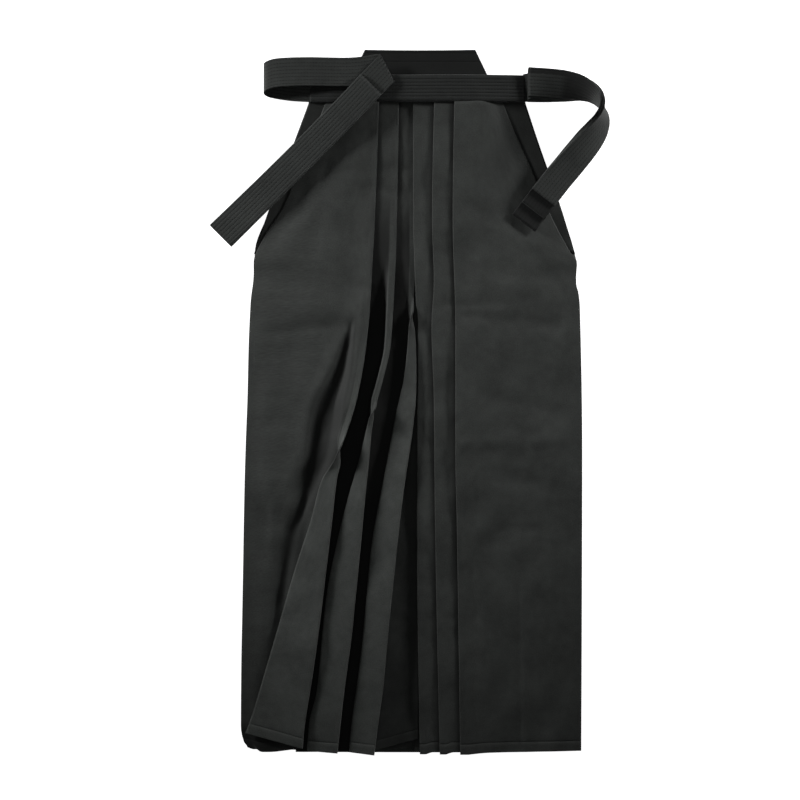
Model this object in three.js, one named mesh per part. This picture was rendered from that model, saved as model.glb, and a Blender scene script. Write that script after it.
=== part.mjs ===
// Hakama trousers laid flat on their back, front side up, in millimetres.
// +X runs across the garment, +Y towards the waist and +Z up from the surface it lies on.
// Places are given by DROP, the distance down from the lower edge of the front band, and by the
// distance across from the centre line. The left front's three pleats are fanned open and turned
// back over towards the left below the hip. The right front's three pleats lie closed.
import * as THREE from "three";

// Driving dimensions.
const CLOTH = 1.0; // thickness of the skirt cloth as modelled
const LAYER = 1.3; // distance between two folded layers, from middle to middle
const SEAM_GAP = 0.3; // clear gap between pieces that are sewn together
const FRONT_LENGTH = 910; // band to hem along the front
const BACK_LENGTH = 912;
const BACK_THICK = 1.2;
const BAND_DEPTH = 38;
const BOARD_TOP_WIDTH = 155;
const BOARD_FOOT_WIDTH = 242;
const BOARD_HEIGHT = 90.7;
const BOARD_THICK = 3.0;
const BOARD_FOOT_DROP = 16.3;
const BOARD_CENTRE = 8.4;
const TIE_WIDTH = 40;
const TIE_THICK = 1.2;
const TIE_LAYER = 1.8;
const BACK_TIE_LENGTH = 650;
const BACK_TIE_WIDTH = 30;
const BACK_TIE_OFFSET = 95;

// ---------------------------------------------------------------- tables

function table(columns, rows) {
  const names = columns.split(" ");
  return rows.map((row) => Object.fromEntries(row.map((value, i) => [names[i], value])));
}

// The straight-line value of one column of a table at a drop.
function at(rows, column, drop) {
  let i = 0;
  while (i < rows.length - 2 && drop > rows[i + 1].drop) i += 1;
  const low = rows[i];
  const high = rows[i + 1];
  const share = THREE.MathUtils.clamp((drop - low.drop) / (high.drop - low.drop), 0, 1);
  return THREE.MathUtils.lerp(low[column], high[column], share);
}

// Outer width of the left front: its side edge, and the swell before the first pleat's valley.
const LEFT_PANEL = table("drop sideX sideZ swellX swellZ", [
  [0, -124, 5.9, -104, 10.2],
  [40, -139, 4.8, -112, 9.8],
  [100, -164, 4.0, -122, 9.5],
  [145, -182.5, 3.8, -130, 9.5],
  [194, -213, 3.6, -136, 9.5],
  [224, -225, 3.5, -140, 9.8],
  [240, -225, 2.0, -140, 10],
  [277, -229, 2.0, -136, 10.5],
  [340, -232, 2.0, -128, 12],
  [417, -233.8, 2.0, -142, 13],
  [475, -236, 2.0, -160, 12.5],
  [529, -237.6, 2.0, -174, 11.5],
  [583, -238.7, 2.0, -186, 10.5],
  [650, -239.8, 2.0, -196, 9],
  [717, -241, 2.0, -206, 7.6],
  [797, -242.4, 2.0, -214, 6.4],
  [879, -242.9, 2.0, -222, 5.6],
  [900, -238.7, 2.0, -220, 5.5],
  [910, -229, 2.0, -215, 5.5],
]);

// Each pleat: the knee where its cloth starts to rise, its ridge, its pressed edge, and the hidden
// inner fold. Where the edge is right of the ridge the pleat lies closed. Where it is left of it,
// the pleat is turned back and the edge is the free side of the flap.
const PLEAT = "drop kneeX kneeZ ridgeX ridgeZ edgeX edgeZ foldX foldZ";
const LEFT_PLEATS = [
  table(PLEAT, [
    [0, -85, 12.0, -57, 11.5, -49.6, 11.5, -72, 10.85],
    [164, -90, 12.0, -63, 11.5, -55.3, 11.5, -78, 10.85],
    [224, -94, 11.8, -66, 12.2, -58.5, 12.2, -80, 9.6],
    [277, -97, 10.4, -69, 15, -61.3, 15, -77, 7.4],
    [340, -99, 8.8, -75, 18, -67.1, 18, -83, 6.2],
    [417, -113, 6.4, -88.5, 20.5, -80.5, 21, -96.5, 6.2],
    [459, -125, 6.1, -101, 21.5, -93.2, 23, -109, 6.2],
    [475, -130, 6.1, -104.5, 22, -99, 27.5, -112.5, 6.2],
    [487, -134, 6.1, -104.5, 22, -104.5, 30, -112.5, 6.2],
    [500, -138, 6.1, -104.5, 22, -110.5, 27, -112.5, 6.2],
    [529, -146, 6.1, -109.9, 22, -128.6, 18, -118, 6.2],
    [583, -156, 6.1, -116, 22, -143.2, 14.5, -124, 6.2],
    [650, -170, 6, -124, 22, -165, 12.4, -132, 6.2],
    [717, -182, 6, -132, 22, -184.5, 11.6, -140, 6.2],
    [797, -188, 5.8, -142.5, 22, -208.5, 11, -150.5, 6.2],
    [879, -194, 5.6, -154.8, 21, -233, 10.5, -163, 6.2],
    [910, -197, 5.6, -157.5, 21, -235.5, 10.5, -165.5, 6.2],
  ]),
  table(PLEAT, [
    [0, -36, 9.55, -26.5, 8.9, -21.6, 8.9, -40, 8.25],
    [200, -41, 9.55, -30, 8.9, -25.3, 8.9, -44, 8.25],
    [224, -41, 8.6, -31, 9.6, -26.2, 9.6, -40, 7.1],
    [240, -41, 7.4, -32, 10.5, -27, 10.5, -37, 6.2],
    [277, -40, 5.6, -34, 13.5, -28.8, 13.5, -35.5, 6.2],
    [340, -42, 4.9, -37.6, 16.5, -33.2, 16.5, -39.1, 6.2],
    [396, -54, 4.9, -50, 19, -45.7, 19, -51.5, 6.2],
    [418, -60, 4.9, -55.8, 19.8, -51.8, 20, -57.3, 6.2],
    [427, -61, 4.9, -56.6, 20, -53.4, 24, -58.1, 6.2],
    [434, -62, 4.9, -57.2, 20, -57.2, 25.4, -58.7, 6.2],
    [442, -63, 4.9, -58.2, 20, -62, 23.4, -59.7, 6.2],
    [460, -67, 4.9, -61.2, 20, -66.6, 19, -62.7, 6.2],
    [490, -70, 4.9, -63.8, 20, -73.6, 17, -65.3, 6.2],
    [557, -77, 4.9, -70.6, 20, -92.7, 13.6, -72.1, 6.2],
    [609, -81.5, 4.9, -75.4, 20, -105.8, 12.2, -76.9, 6.2],
    [691, -89.5, 4.9, -83.5, 20, -122.1, 11.4, -85, 6.2],
    [744, -95, 4.9, -88.8, 20, -127.8, 11, -90.3, 6.2],
    [824, -105.5, 4.9, -99.5, 20, -135.3, 11, -101, 6.2],
    [873, -111, 4.9, -105, 19.5, -146.5, 11, -106.5, 6.2],
    [910, -115, 4.9, -109, 19, -149, 11, -110.5, 6.2],
  ]),
  table(PLEAT, [
    [0, -12, 6.95, -2, 6.3, 6.6, 6.3, -14, 5.65],
    [200, -12, 6.95, -2, 6.3, 5.4, 6.3, -14, 5.65],
    [260, -11, 6.8, -3.4, 6.3, 0.6, 6.3, -12.6, 5.3],
    [277, -10, 6.2, -4, 7.0, -0.6, 7.8, -8, 5.2],
    [290, -9.5, 5.8, -4, 7.8, -1.0, 12, -5.5, 5.2],
    [300, -8.6, 5.4, -3.5, 8.5, -3.5, 14.5, -5, 5.2],
    [312, -8, 4.9, -2, 9.3, -6.5, 13, -3.5, 5.2],
    [325, -6.5, 4.9, -0.6, 10, -7.6, 10.6, -2.1, 5.2],
    [365, -5, 4.9, 1.0, 12, -11, 11.2, -0.5, 5.2],
    [395, -4.8, 4.9, 1.1, 13, -15.4, 10.8, -0.4, 5.2],
    [417, -5.4, 4.9, 0.4, 14, -20.5, 10.6, -1.1, 5.2],
    [439, -7.4, 4.9, -1.6, 15, -25.3, 10.4, -3.1, 5.2],
    [477, -12.4, 4.9, -6.4, 16, -32.7, 10.2, -7.9, 5.2],
    [529, -20.4, 4.9, -14.4, 17, -42.5, 10, -15.9, 5.2],
    [609, -30.3, 4.9, -24.3, 17.5, -57.6, 10, -25.8, 5.2],
    [658, -35.4, 4.9, -29.4, 17.5, -63.2, 10, -30.9, 5.2],
    [758, -45.7, 4.9, -39.7, 17.5, -72.3, 10, -41.2, 5.2],
    [812, -50.5, 4.9, -44.5, 17.5, -79, 10, -46, 5.2],
    [879, -59.7, 4.9, -53.7, 17, -88, 10, -55.2, 5.2],
    [910, -63.5, 4.9, -57.5, 17, -90.5, 10, -59, 5.2],
  ]),
];

// The right front is written as if it were a left one, and mirrored when it is made.
const RIGHT_PANEL = table("drop sideX sideZ swellX swellZ", [
  [0, -124, 5.9, -104, 11.5],
  [40, -140, 4.8, -112, 11],
  [100, -167, 4.0, -124, 10.5],
  [152, -188.8, 3.8, -134, 10.2],
  [209, -218.5, 3.6, -142, 10],
  [224, -228.5, 3.5, -145, 10],
  [240, -227.6, 2.0, -146, 10],
  [254, -227.4, 2.0, -148, 10],
  [266, -230.5, 2.0, -150, 10],
  [285, -232.5, 2.0, -150, 10],
  [490, -235.9, 2.0, -150, 9.6],
  [700, -235.4, 2.0, -150, 8.6],
  [910, -234.5, 2.0, -150, 7.2],
]);
const RIGHT_PLEATS = [
  table(PLEAT, [
    [0, -92, 14.6, -64, 14.1, -56.7, 14.1, -78, 13.45],
    [164, -90, 14.6, -62, 14.1, -54.3, 14.1, -76, 13.45],
    [314, -93, 14.6, -65, 14.1, -58.1, 14.1, -79, 13.45],
    [400, -93, 14.8, -65, 16.4, -58.1, 16.6, -79, 13.45],
    [490, -93, 14.8, -65, 16.4, -58.1, 16.6, -79, 13.45],
    [600, -95, 14.6, -67, 14.8, -60.2, 14.8, -81, 13.45],
    [910, -100, 12.6, -72, 12.1, -64.9, 12.1, -86, 11.45],
  ]),
  table(PLEAT, [
    [0, -46, 12.15, -35, 11.5, -28.6, 11.5, -43, 10.85],
    [164, -43, 12.15, -32, 11.5, -25.5, 11.5, -40, 10.85],
    [251, -45, 12.15, -34, 11.5, -28, 11.5, -42, 10.85],
    [314, -42, 12.15, -31, 11.5, -24.8, 11.5, -39, 10.85],
    [416, -45, 12.15, -34, 11.5, -28, 11.5, -42, 10.85],
    [557, -46, 12.15, -35, 11.5, -29.3, 11.5, -43, 10.85],
    [910, -53, 10.15, -42, 9.5, -36.4, 9.5, -50, 8.85],
  ]),
  table(PLEAT, [
    [0, -16, 9.55, -5, 8.9, 0.9, 8.9, -14, 8.25],
    [164, -16, 9.55, -5, 8.9, 0.9, 8.9, -14, 8.25],
    [215, -17, 9.55, -6, 8.9, -0.5, 8.9, -15, 8.25],
    [277, -19, 9.55, -8, 8.9, -2.9, 8.9, -17, 8.25],
    [314, -22, 9.55, -11, 8.9, -5.4, 8.9, -20, 8.25],
    [390, -22, 9.55, -11, 8.9, -5.4, 8.9, -20, 8.25],
    [440, -21, 9.55, -10, 8.9, -4.2, 8.9, -19, 8.25],
    [557, -21, 9.55, -10, 8.9, -4.2, 8.9, -19, 8.25],
    [910, -25, 7.55, -14, 6.9, -8.5, 6.9, -23, 6.25],
  ]),
];

// Sections through the fronts are cut at these drops.
const LEFT_DROPS = [
  0, 60, 120, 180, 200, 212, 224, 240, 260, 277, 290, 300, 312, 325, 365, 395, 418, 427, 434, 442, 460, 475,
  487, 500, 529, 556, 583, 605, 627, 650, 673, 695, 717, 757, 797, 850, 879, 900, 910,
];
const RIGHT_DROPS = [0, 60, 120, 180, 215, 240, 254, 266, 314, 400, 490, 600, 760, 910];

// How far each line of the front stops short of the full length at the hem.
const HEM_EASE_DROP = 700;
const LEFT_HEM = { side: 4, panel: 0, edges: [27, 3, 1], ridges: [7, 0, -3], centre: 18 };
const RIGHT_HEM = { side: 1, panel: 0, edges: [-3, -3, -3], ridges: [-3, -3, -3], centre: 0 };

// ---------------------------------------------------------------- solids

function v(x, drop, z) {
  return new THREE.Vector3(x, -drop, z);
}

// A closed body from rings of corners: each ring is joined to the next and both ends are capped
// between the ring's first half and its second. The two halves are the two faces of a sheet, so
// their quads are split along the same diagonal. Layers that run back over each other are flagged
// as turned, one flag a segment or one for the whole ring, and swap theirs, so that they nest.
function loft(rings) {
  const count = rings[0].length;
  const faces = [];
  const quad = (a, b, c, d) => faces.push([a, b, c], [a, c, d]);
  for (let i = 0; i + 1 < rings.length; i += 1) {
    const near = rings[i];
    const far = rings[i + 1];
    for (let j = 0; j < count; j += 1) {
      const k = (j + 1) % count;
      const second = j >= count / 2;
      const segment = second ? count - 2 - j : j;
      const turned = Array.isArray(near.turned) ? near.turned[segment] : near.turned;
      if (second !== Boolean(turned)) quad(near[k], near[j], far[j], far[k]);
      else quad(near[j], far[j], far[k], near[k]);
    }
  }
  const first = rings[0];
  const last = rings[rings.length - 1];
  for (let j = 0; j + 1 < count / 2; j += 1) {
    const k = count - 1 - j;
    quad(first[j], first[j + 1], first[k - 1], first[k]);
    quad(last[k], last[k - 1], last[j + 1], last[j]);
  }
  let volume = 0;
  for (const [a, b, c] of faces) volume += a.dot(b.clone().cross(c)) / 6;
  const points = [];
  for (const [a, b, c] of faces) points.push(a, ...(volume > 0 ? [b, c] : [c, b]));
  return new THREE.BufferGeometry().setFromPoints(points);
}

// A wall of cloth from sections, each a row of points [x, drop, z] down the middle of the cloth.
// Corners are mitred in the plane of the section.
function cloth(sections, thick) {
  return loft(
    sections.map((points) => {
      const upper = [];
      const lower = [];
      points.forEach(([x, drop, z], i) => {
        const before = points[Math.max(i - 1, 0)];
        const after = points[Math.min(i + 1, points.length - 1)];
        const arrive = new THREE.Vector2(x - before[0], z - before[2]);
        const leave = new THREE.Vector2(after[0] - x, after[2] - z);
        if (arrive.length() === 0) arrive.copy(leave);
        if (leave.length() === 0) leave.copy(arrive);
        arrive.normalize();
        leave.normalize();
        const along = arrive.clone().add(leave).normalize();
        const reach = thick / 2 / Math.max(along.dot(leave), 0.5);
        upper.push(v(x - along.y * reach, drop, z + along.x * reach));
        lower.unshift(v(x + along.y * reach, drop, z - along.x * reach));
      });
      const ring = [...upper, ...lower];
      ring.turned = points.map(([x], i) => i + 1 < points.length && points[i + 1][0] < x - 2);
      return ring;
    }),
  );
}

const MATERIALS = {
  skirt: { color: 0x242725, roughness: 0.85 },
  band: { color: 0x202321, roughness: 0.8 },
  board: { color: 0x242725, roughness: 0.85 },
};

const hakama = new THREE.Group();

function add(name, kind, geometry) {
  const mesh = new THREE.Mesh(
    geometry,
    new THREE.MeshStandardMaterial({ ...MATERIALS[kind], metalness: 0 }),
  );
  mesh.name = name;
  hakama.add(mesh);
}

// ---------------------------------------------------------------- fronts

// The cloth's way round one pleat. It comes in over a closed pleat and under a turned-back one,
// so the four points at the ridge move round it as the flap swings over.
function pleat(rows, drop) {
  const get = (column) => at(rows, column, drop);
  const ridge = new THREE.Vector2(get("ridgeX"), get("ridgeZ"));
  const edge = new THREE.Vector2(get("edgeX"), get("edgeZ"));
  const way = edge.clone().sub(ridge).normalize();
  const swing = Math.min(Math.abs(Math.atan2(way.y, way.x)) / (0.9 * Math.PI), 1);
  const normal = new THREE.Vector2(-way.y, way.x).multiplyScalar(LAYER / 2);
  const half = LAYER / 2;
  const turned = (closed, standing, back) =>
    swing < 0.5
      ? THREE.MathUtils.lerp(closed, standing, swing * 2)
      : THREE.MathUtils.lerp(standing, back, swing * 2 - 1);
  const floor = get("foldZ");
  const lap = turned(0, 0, 1.7);
  return {
    knee: [get("kneeX"), get("kneeZ")],
    ridge: [
      [ridge.x + turned(-3, -2.6, 0), ridge.y + turned(half, -0.8, -3 * half)],
      [ridge.x + normal.x, ridge.y + normal.y],
    ],
    edge: [
      [edge.x + normal.x, edge.y + normal.y],
      [edge.x - normal.x, edge.y - normal.y],
    ],
    after: [
      [ridge.x - normal.x - way.x * lap, ridge.y - normal.y - way.y * lap],
      [ridge.x + turned(-1.2, 0.8, 1.7), turned(ridge.y - half, ridge.y - 3, floor + 1.8)],
    ],
    fold: [
      [get("foldX"), floor],
      [get("foldX"), floor - LAYER],
    ],
  };
}

// One section of a front, from its side edge to the hidden edge at the centre.
function frontSection(panel, pleats, hem, end, drop) {
  const ease = THREE.MathUtils.smoothstep(drop, HEM_EASE_DROP, FRONT_LENGTH);
  const points = [];
  const put = (places, short) =>
    places.forEach(([x, z]) => points.push([x, drop - short * ease, z]));
  put([[at(panel, "sideX", drop), at(panel, "sideZ", drop)]], hem.side);
  put([[at(panel, "sideX", drop) + 9, at(panel, "sideZ", drop) + 1.4]], hem.side);
  put([[at(panel, "swellX", drop), at(panel, "swellZ", drop)]], hem.panel);
  pleats.forEach((rows, i) => {
    const way = pleat(rows, drop);
    put([way.knee], hem.panel);
    put(way.ridge, hem.ridges[i]);
    put(way.edge, hem.edges[i]);
    put(way.after, hem.ridges[i]);
    put(way.fold, hem.panel);
  });
  put([end], hem.centre);
  return points;
}

function front(panel, pleats, hem, end, drops, side) {
  const sections = drops.map((drop) =>
    frontSection(panel, pleats, hem, end, drop).map(([x, low, z]) => [x * side, low, z]),
  );
  return cloth(sections, CLOTH);
}

add("front_left", "skirt", front(LEFT_PANEL, LEFT_PLEATS, LEFT_HEM, [6, 4.1], LEFT_DROPS, 1));
add("front_right", "skirt", front(RIGHT_PANEL, RIGHT_PLEATS, RIGHT_HEM, [-9, 4.6], RIGHT_DROPS, -1));

// ---------------------------------------------------------------- slit folds

// The narrow leaf of cloth that shows beside each front edge, from the band to the slit's foot.
const SIDE_FOLDS = {
  side_fold_left: table("drop insideX outsideX z", [
    [0.3, -119, -146.5, 4.4],
    [56, -140, -167, 2.9],
    [154, -182, -205, 2.3],
    [212, -215, -224.5, 2.1],
  ]),
  side_fold_right: table("drop insideX outsideX z", [
    [0.3, 119, 155.5, 4.4],
    [56, 142, 173.5, 2.9],
    [139, 177, 202, 2.3],
    [212, 212, 224.5, 2.1],
  ]),
};
for (const [name, rows] of Object.entries(SIDE_FOLDS)) {
  const sections = rows.map(({ drop, insideX, outsideX, z }) => {
    const ends = [Math.min(insideX, outsideX), Math.max(insideX, outsideX)];
    return ends.map((x) => [x, drop, z]);
  });
  add(name, "skirt", cloth(sections, CLOTH));
}

// ---------------------------------------------------------------- backs and gusset

const BACK_SIDES = table("drop left right", [
  [BOARD_FOOT_DROP + SEAM_GAP, -151, 159],
  [56, -165.5, 171.5],
  [154, -203.5, 206],
  [205, -222.5, 222],
  [227, -223.5, 226.5],
  [254, -225, 225.8],
  [285, -228.5, 231],
  [417, -232.2, 233.6],
  [852, -241.3, 233.4],
  [898, -237, 233.2],
  [BACK_LENGTH, -226, 233],
]);
const BACK_Z = BACK_THICK / 2;
for (const [name, side] of [["back_left", -1], ["back_right", 1]]) {
  const sections = BACK_SIDES.map((row) => {
    const outer = side < 0 ? row.left : row.right;
    const inner = (side * SEAM_GAP) / 2;
    return [Math.min(outer, inner), Math.max(outer, inner)].map((x) => [x, row.drop, BACK_Z]);
  });
  add(name, "skirt", cloth(sections, BACK_THICK));
}

const GUSSET_TOP = 470;
const GUSSET_FOOT = 880;
const GUSSET_HALF = 55;
const GUSSET_Z = 2.3;
add(
  "gusset",
  "skirt",
  cloth(
    [[GUSSET_TOP, 12], [GUSSET_FOOT, GUSSET_HALF]].map(([drop, half]) => [
      [-half, drop, GUSSET_Z],
      [half, drop, GUSSET_Z],
    ]),
    CLOTH,
  ),
);

// ---------------------------------------------------------------- back board and its ties

const board = new THREE.Shape([
  new THREE.Vector2(BOARD_CENTRE - BOARD_FOOT_WIDTH / 2, -BOARD_FOOT_DROP),
  new THREE.Vector2(BOARD_CENTRE + BOARD_FOOT_WIDTH / 2, -BOARD_FOOT_DROP),
  new THREE.Vector2(BOARD_CENTRE + BOARD_TOP_WIDTH / 2, BOARD_HEIGHT - BOARD_FOOT_DROP),
  new THREE.Vector2(BOARD_CENTRE - BOARD_TOP_WIDTH / 2, BOARD_HEIGHT - BOARD_FOOT_DROP),
]);
add("koshi_ita", "board", new THREE.ExtrudeGeometry(board, { depth: BOARD_THICK, bevelEnabled: false }));

const BACK_TIE_Z = BACK_THICK + SEAM_GAP + TIE_THICK / 2;
for (const [name, side] of [["back_tie_left", -1], ["back_tie_right", 1]]) {
  const top = BOARD_FOOT_DROP + SEAM_GAP;
  const sections = [top, top + BACK_TIE_LENGTH].map((drop) =>
    [-BACK_TIE_WIDTH / 2, BACK_TIE_WIDTH / 2].map((x) => [
      side * BACK_TIE_OFFSET + x,
      drop,
      BACK_TIE_Z,
    ]),
  );
  add(name, "band", cloth(sections, TIE_THICK));
}

// ---------------------------------------------------------------- front band

// The band is thickest in the middle, where it holds the tops of all the pleats.
const BAND_LOW = BOARD_THICK + 0.8;
const BAND_TOP = table("x z", [
  [-146, 8.2],
  [-104, 12],
  [-50, 13.9],
  [0, 14.6],
  [56, 16.4],
  [104, 14],
  [155.6, 8.2],
]);
const bandSections = BAND_TOP.map(({ x, z }) => [
  v(x, -BAND_DEPTH, z),
  v(x, -SEAM_GAP, z),
  v(x, -SEAM_GAP, BAND_LOW),
  v(x, -BAND_DEPTH, BAND_LOW),
]);
add("front_band", "band", loft(bandSections));

// ---------------------------------------------------------------- ties

// A flat tie from frames: a place, the heading that its width stands across, its pitch, the tilt
// about its own length and half its width there.
function frame({ x, drop, z, heading = 0, pitch = 0, tilt = 0, half = TIE_WIDTH / 2 }) {
  const turn = THREE.MathUtils.degToRad(heading);
  const climb = THREE.MathUtils.degToRad(pitch);
  const roll = THREE.MathUtils.degToRad(tilt);
  const along = new THREE.Vector3(
    Math.cos(turn) * Math.cos(climb),
    Math.sin(turn) * Math.cos(climb),
    Math.sin(climb),
  );
  const flat = new THREE.Vector3(-Math.sin(turn), Math.cos(turn), 0);
  const up = along.clone().cross(flat);
  return {
    centre: v(x, drop, z),
    wide: flat.clone().multiplyScalar(Math.cos(roll)).addScaledVector(up, Math.sin(roll)),
    face: up.clone().multiplyScalar(Math.cos(roll)).addScaledVector(flat, -Math.sin(roll)),
    half,
  };
}

function ribbon(frames, thick) {
  return loft(
    frames.map(({ centre, wide, face, half, turned }) => {
      const ring = [[1, 1], [-1, 1], [-1, -1], [1, -1]].map(([side, top]) =>
        centre
          .clone()
          .addScaledVector(wide, side * half)
          .addScaledVector(face, (top * thick) / 2),
      );
      ring.turned = turned;
      return ring;
    }),
  );
}

const moved = (f, way, distance) => ({ ...f, centre: f.centre.clone().addScaledVector(way, distance) });
const travel = (f) => f.wide.clone().cross(f.face);

// A tie folded to and fro along one route. Each layer lies a rise above the last along the face,
// and each pair of layers can end further on than the one before it.
function accordion(route, layers, rise, further) {
  const frames = [];
  for (let layer = 0; layer < layers; layer += 1) {
    const outward = layer % 2 === 0;
    const last = route[route.length - 1];
    const reach = Math.floor(layer / 2) * further;
    const whole = reach > 0 ? [...route, moved(last, travel(last), reach)] : [...route];
    const laid = whole.map((f) => moved(f, f.face, layer * rise));
    if (!outward) {
      laid.reverse();
      laid.forEach((f) => (f.face = f.face.clone().negate()));
      laid.forEach((f) => (f.turned = true));
    }
    frames.push(...laid);
    if (layer + 1 === layers) break;
    const end = laid[laid.length - 1];
    const face = outward ? end.face : end.face.clone().negate();
    const onward = end.wide.clone().cross(face);
    const cap = moved(end, face, rise / 2);
    frames.push({
      ...moved(cap, onward, (outward ? 1 : -1) * Math.abs(rise / 2)),
      face: onward.multiplyScalar(-Math.sign(rise)),
    });
  }
  return frames;
}

// Left tie: out from the band's end, rolled back over itself, and across to its slanting fold.
const FRAME = "x drop z heading pitch half";
const FOLD_HEADING = 27.4;
const FOLD_HALF = 21.3;
const LEFT_LOOP = table(FRAME, [
  [-146.3, -19.2, 6.2, 180, 0, 19],
  [-172, -22, 4.2, 180, 0, 20],
  [-198, -26, 3.2, 180, 0, 20],
  [-207, -29, 5.0, 180, 45, 20],
  [-210, -32.5, 9.4, 180, 90, 20],
  [-206, -36.5, 13.6, 180, 140, 20],
  [-190, -40.5, 15.6, 180, 175, 20],
  [-150, -42, 15.7, 180, 180, 20],
  [-92, -41.3, 15.7, 180, 180, 20],
  [-62, -44.3, 15.7, 180, 180, 20],
  [-38.6, -47, 15.7, 180 + FOLD_HEADING, 180, FOLD_HALF],
]);
add("tie_left_loop", "band", ribbon(LEFT_LOOP.map(frame), TIE_THICK));

// The strap: the same tie past its slanting fold, in four layers folded to and fro.
const STRAP_LAYERS = 4;
const STRAP = table("x drop z heading pitch", [
  [-60.2, -23.1, 18.3, 45, 180],
  [-83.4, 1.9, 18.2, 45, 180],
  [-118, 37, 15.6, 45, 180],
  [-188, 107, 9.6, 45, 180],
  [-269.4, 187.6, 4.8, 45, 180],
]);
const STRAP_START = { x: -37.4, drop: -47, z: 17.5, heading: FOLD_HEADING, pitch: 180, half: FOLD_HALF };
add(
  "tie_left_strap",
  "band",
  ribbon([frame(STRAP_START), ...accordion(STRAP.map(frame), STRAP_LAYERS, -TIE_LAYER, 0)], TIE_THICK),
);

// Right tie: a folded bundle of five layers that leaves the band flat, stands up on its lower edge
// as it bends round, and comes down with its other face up.
const RIGHT_LAYERS = 5;
const RIGHT_STAGGER = 23;
const RIGHT_ROUTE = table("x drop z heading tilt", [
  [160, -20.4, 7, 0, 4],
  [184, -19.9, 8.5, -2, 10],
  [212, -19.4, 11.5, -6, 24],
  [235.5, -16.5, 17, -18, 44],
  [253.5, -9, 21.5, -40, 68],
  [264, 4, 22.5, -66, 90],
  [265.8, 20.5, 22.5, -88, 112],
  [258.3, 39.3, 22, -110, 132],
  [243.5, 59, 21, -126, 150],
  [222.4, 83.5, 20.5, -130, 164],
  [200.8, 108.7, 20.5, -128, 172],
  [181.1, 133.4, 21, -127, 176],
]);
const RIGHT_START = { x: 156.1, drop: -20.2, z: 6.8, heading: 0, tilt: 2, half: 19 };
const rightRoute = RIGHT_ROUTE.map(frame);
add(
  "tie_right",
  "band",
  ribbon(
    [frame(RIGHT_START), ...accordion(rightRoute, RIGHT_LAYERS, TIE_LAYER, RIGHT_STAGGER)],
    TIE_THICK,
  ),
);

// ---------------------------------------------------------------- the part's own frame

// The origin is the middle of the underside of the whole garment's box.
const bounds = new THREE.Box3().setFromObject(hakama);
const middle = bounds.getCenter(new THREE.Vector3());
hakama.position.set(-middle.x, -middle.y, -bounds.min.z);

export default hakama;
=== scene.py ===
"""Hakama trousers laid flat on their back, front side up.

Sizes are in millimetres and become metres where a mesh is made. A place on the garment is given
across from its centre line and by its drop, the distance down from the front band's lower edge.
"""

import bisect
import math

import bmesh
import bpy
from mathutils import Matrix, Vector, noise


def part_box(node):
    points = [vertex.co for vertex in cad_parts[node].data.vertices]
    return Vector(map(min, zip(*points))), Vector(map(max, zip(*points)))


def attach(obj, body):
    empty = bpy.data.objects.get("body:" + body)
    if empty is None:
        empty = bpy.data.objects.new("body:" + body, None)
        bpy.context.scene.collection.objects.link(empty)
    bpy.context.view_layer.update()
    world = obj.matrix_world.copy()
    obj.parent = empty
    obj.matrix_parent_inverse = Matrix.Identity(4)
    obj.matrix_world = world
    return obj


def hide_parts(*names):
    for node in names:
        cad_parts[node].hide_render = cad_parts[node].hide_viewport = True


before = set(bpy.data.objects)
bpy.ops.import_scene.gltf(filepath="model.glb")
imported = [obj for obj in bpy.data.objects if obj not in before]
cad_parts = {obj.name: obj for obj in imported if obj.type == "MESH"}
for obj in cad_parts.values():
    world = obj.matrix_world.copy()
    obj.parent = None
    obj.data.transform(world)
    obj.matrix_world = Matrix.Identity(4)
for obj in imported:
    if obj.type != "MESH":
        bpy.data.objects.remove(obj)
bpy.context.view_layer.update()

# ---------------------------------------------------------------- studio
# A pale matt table seen from straight above. Two low softboxes rake across it from beyond the
# garment's top corners, the left one stronger, and their beams fall off towards its hem.
MM = 0.001
BAND_LEFT = -146.0
BAND_FOOT = -0.3
band_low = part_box("front_band")[0]
CENTRE_X = band_low.x - BAND_LEFT * MM
CENTRE_Y = band_low.y + BAND_FOOT * MM


def place(x, drop, z):
    """A place on the garment, in millimetres, as a point of the shared frame."""
    return Vector((CENTRE_X + x * MM, CENTRE_Y - drop * MM, z * MM))


VIEW_X = -19.7
VIEW_DROP = 417.0
VIEW_WIDTH = 1.123
LENS = 100.0
SENSOR = 36.0

scene = bpy.context.scene
scene.view_settings.view_transform = "Standard"
camera_data = bpy.data.cameras.new("camera")
camera_data.lens = LENS
camera_data.sensor_width = SENSOR
camera_data.clip_end = 20.0
camera = bpy.data.objects.new("camera", camera_data)
camera.location = place(VIEW_X, VIEW_DROP, VIEW_WIDTH * LENS / SENSOR / MM)
scene.collection.objects.link(camera)
scene.camera = camera

world = bpy.data.worlds.new("room")
world.use_nodes = True
world.node_tree.nodes["Background"].inputs["Color"].default_value = (1.0, 1.0, 1.0, 1.0)
world.node_tree.nodes["Background"].inputs["Strength"].default_value = 0.05
scene.world = world

AIM_DROP = 270
SOFTBOXES = {
    "left_softbox": (-2600, -1100, 740, 0.50, 3.8, 30),
    "right_softbox": (2600, -1200, 780, 0.50, 2.8, 30),
    "top_softbox": (0, 330, 1500, 0.90, 0.6, 120),
}
for lamp_name, (x, drop, height, size, power, beam) in SOFTBOXES.items():
    lamp_data = bpy.data.lights.new(lamp_name, "AREA")
    lamp_data.energy = power
    lamp_data.size = size
    lamp_data.spread = math.radians(beam)
    lamp = bpy.data.objects.new(lamp_name, lamp_data)
    lamp.location = place(x, drop, height)
    aim = place(0, AIM_DROP, 0) - lamp.location
    lamp.rotation_euler = aim.to_track_quat("-Z", "Y").to_euler()
    lamp.visible_camera = False
    scene.collection.objects.link(lamp)

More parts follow.
